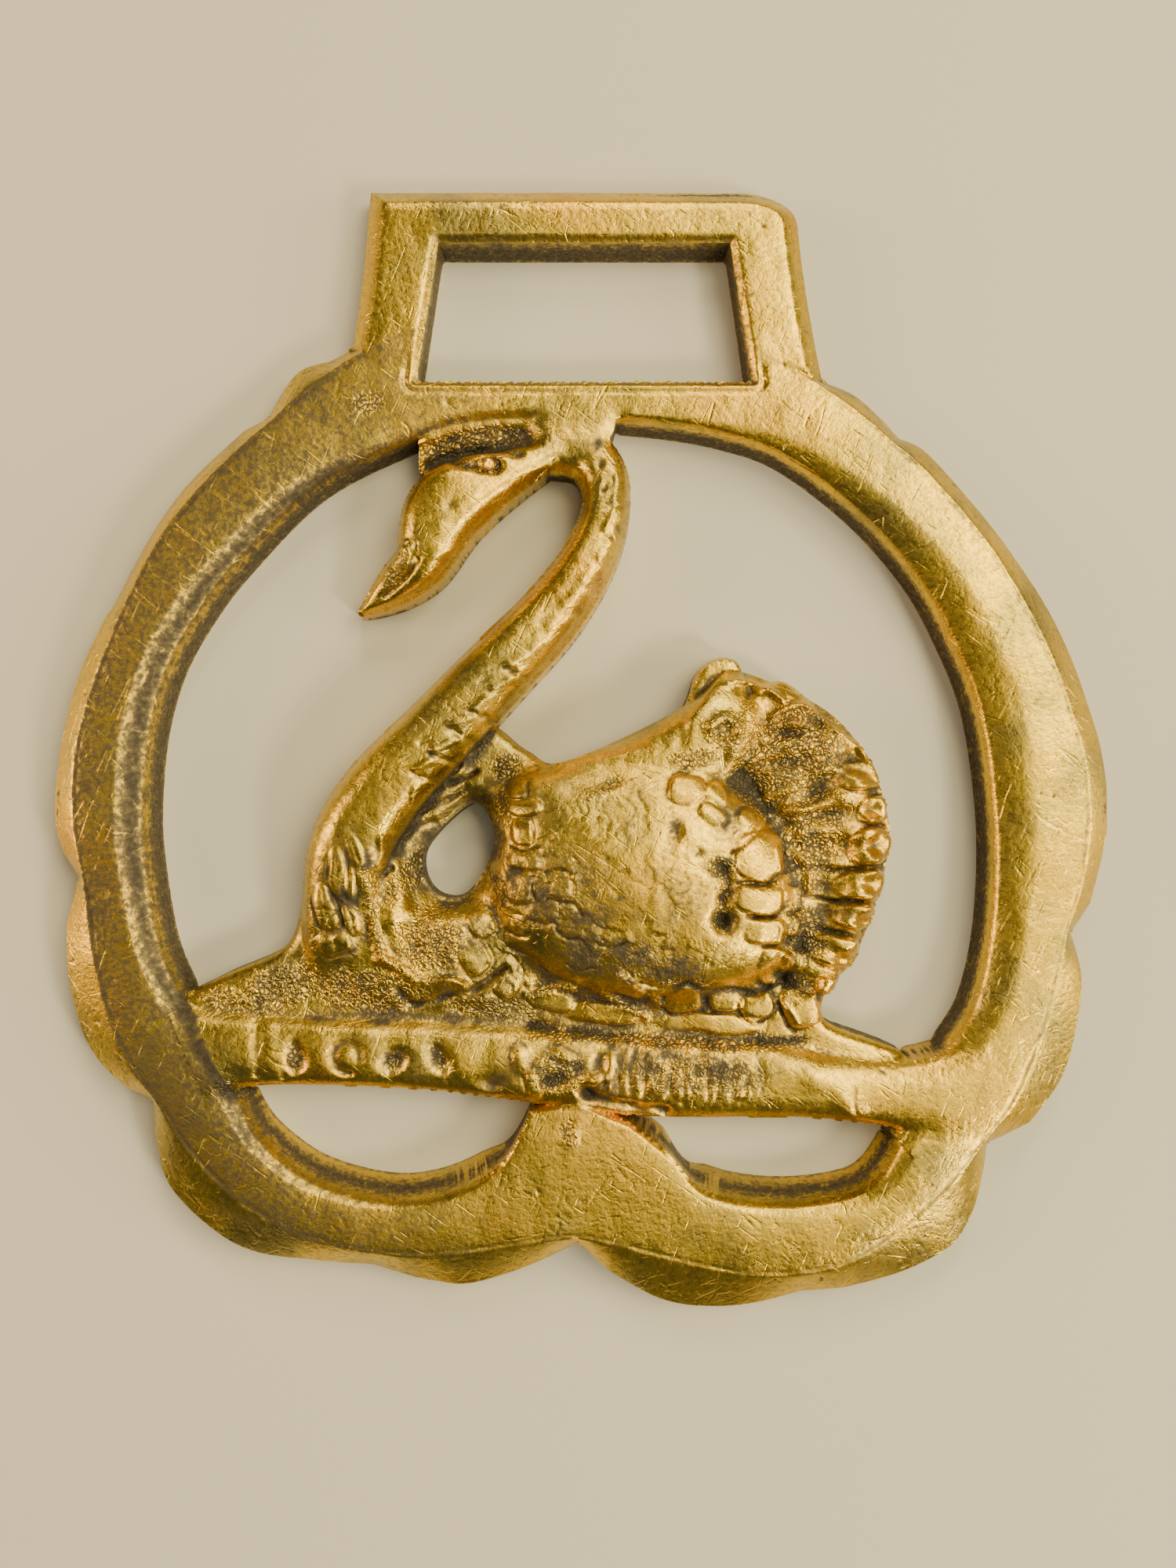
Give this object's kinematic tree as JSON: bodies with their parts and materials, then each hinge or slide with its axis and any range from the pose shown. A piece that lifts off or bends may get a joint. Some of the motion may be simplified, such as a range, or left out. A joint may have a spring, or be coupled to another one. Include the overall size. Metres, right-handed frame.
{
  "type": "horse brass",
  "caption": "Open cast brass harness ornament: a scalloped ring with a strap slot on top and a swan sitting on water inside it.",
  "frame": {"origin": "middle of the brass's width and height, on its flat back", "axes": "+Z out of the flat back towards the relief, +Y towards the hanger, +X to the right as the relief is seen"},
  "size_m": [0.0862, 0.0916, 0.0082],
  "materials": {
    "cast_brass": "satin yellow brass, hand polished on the high places, with fine brushing, scratches and brown tarnish in the hollows"
  },
  "bodies": {
    "root": {"horse_brass": "cast_brass"}
  },
  "joints": []
}
